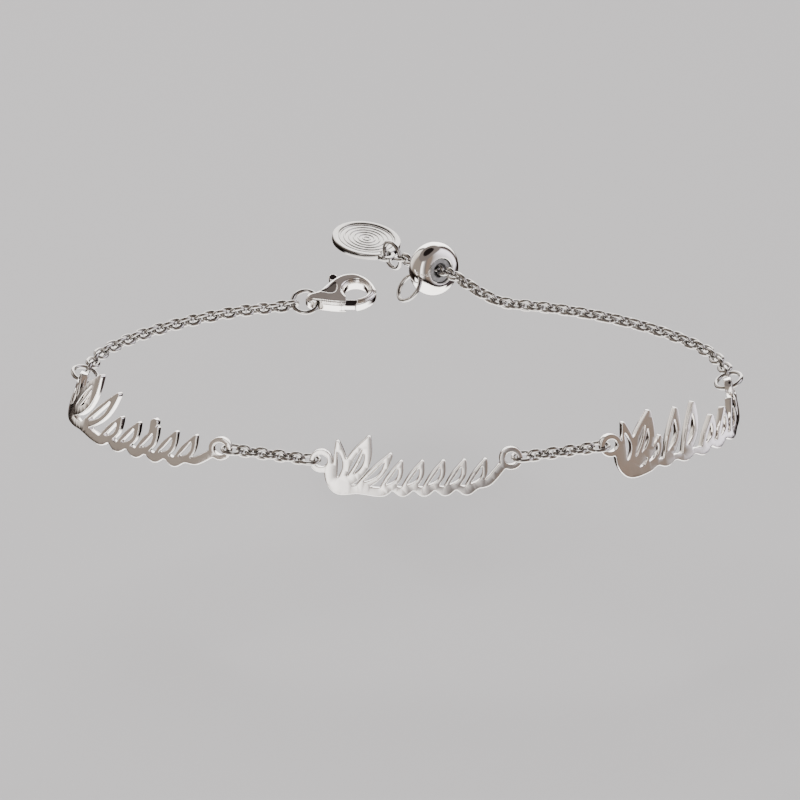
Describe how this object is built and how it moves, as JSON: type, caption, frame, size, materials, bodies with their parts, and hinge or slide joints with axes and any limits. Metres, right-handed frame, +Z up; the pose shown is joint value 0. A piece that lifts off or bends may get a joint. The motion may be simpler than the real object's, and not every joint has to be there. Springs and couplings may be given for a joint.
{
  "type": "nameplate bracelet",
  "caption": "Silver chain bracelet with three curved pierced leaf plates, a lobster clasp and a sliding bead with a closing ring and end tag.",
  "frame": {"origin": "where the middle of the wearer's wrist passes through the loop, at the height of the chain", "axes": "+X to the right across the loop's long way, +Y to the back, where the bracelet opens, +Z up along the wrist"},
  "size_m": [0.0846, 0.066, 0.0098],
  "materials": {
    "plates": "satin silver faces, polished edges",
    "chain": "polished silver",
    "clasp": "polished silver",
    "bead": "polished silver",
    "insert": "matte grey silicone",
    "tag": "polished rim, fine relief"
  },
  "bodies": {
    "bracelet": {"plate_left": "plates", "plate_center": "plates", "plate_right": "plates", "chain_back_left": "chain", "chain_front_left": "chain", "chain_front_right": "chain", "chain_back_right": "chain", "ring_plate_left": "chain", "ring_plate_right": "chain", "clasp_ring": "chain", "clasp_body": "clasp", "tag_ring": "chain", "end_tag": "tag"},
    "lever": {"clasp_lever": "clasp"},
    "slider": {"slider_bead": "bead", "bead_insert": "insert", "closing_ring": "chain"}
  },
  "joints": [
    {"name": "clasp_lever", "type": "hinge", "parent": "bracelet", "child": "lever", "pos_m": [-0.0089, 0.02234, 0.00006], "axis": [0, -0.225, 0.9744], "range_deg": [0, 32], "stiffness_Nm_per_rad": 0.0004, "springref_deg": -8.59},
    {"name": "bead_slide", "type": "slide", "parent": "bracelet", "child": "slider", "axis": [0.5643, -0.7883, 0.2453], "range_m": [-0.005, 0.0018]}
  ]
}
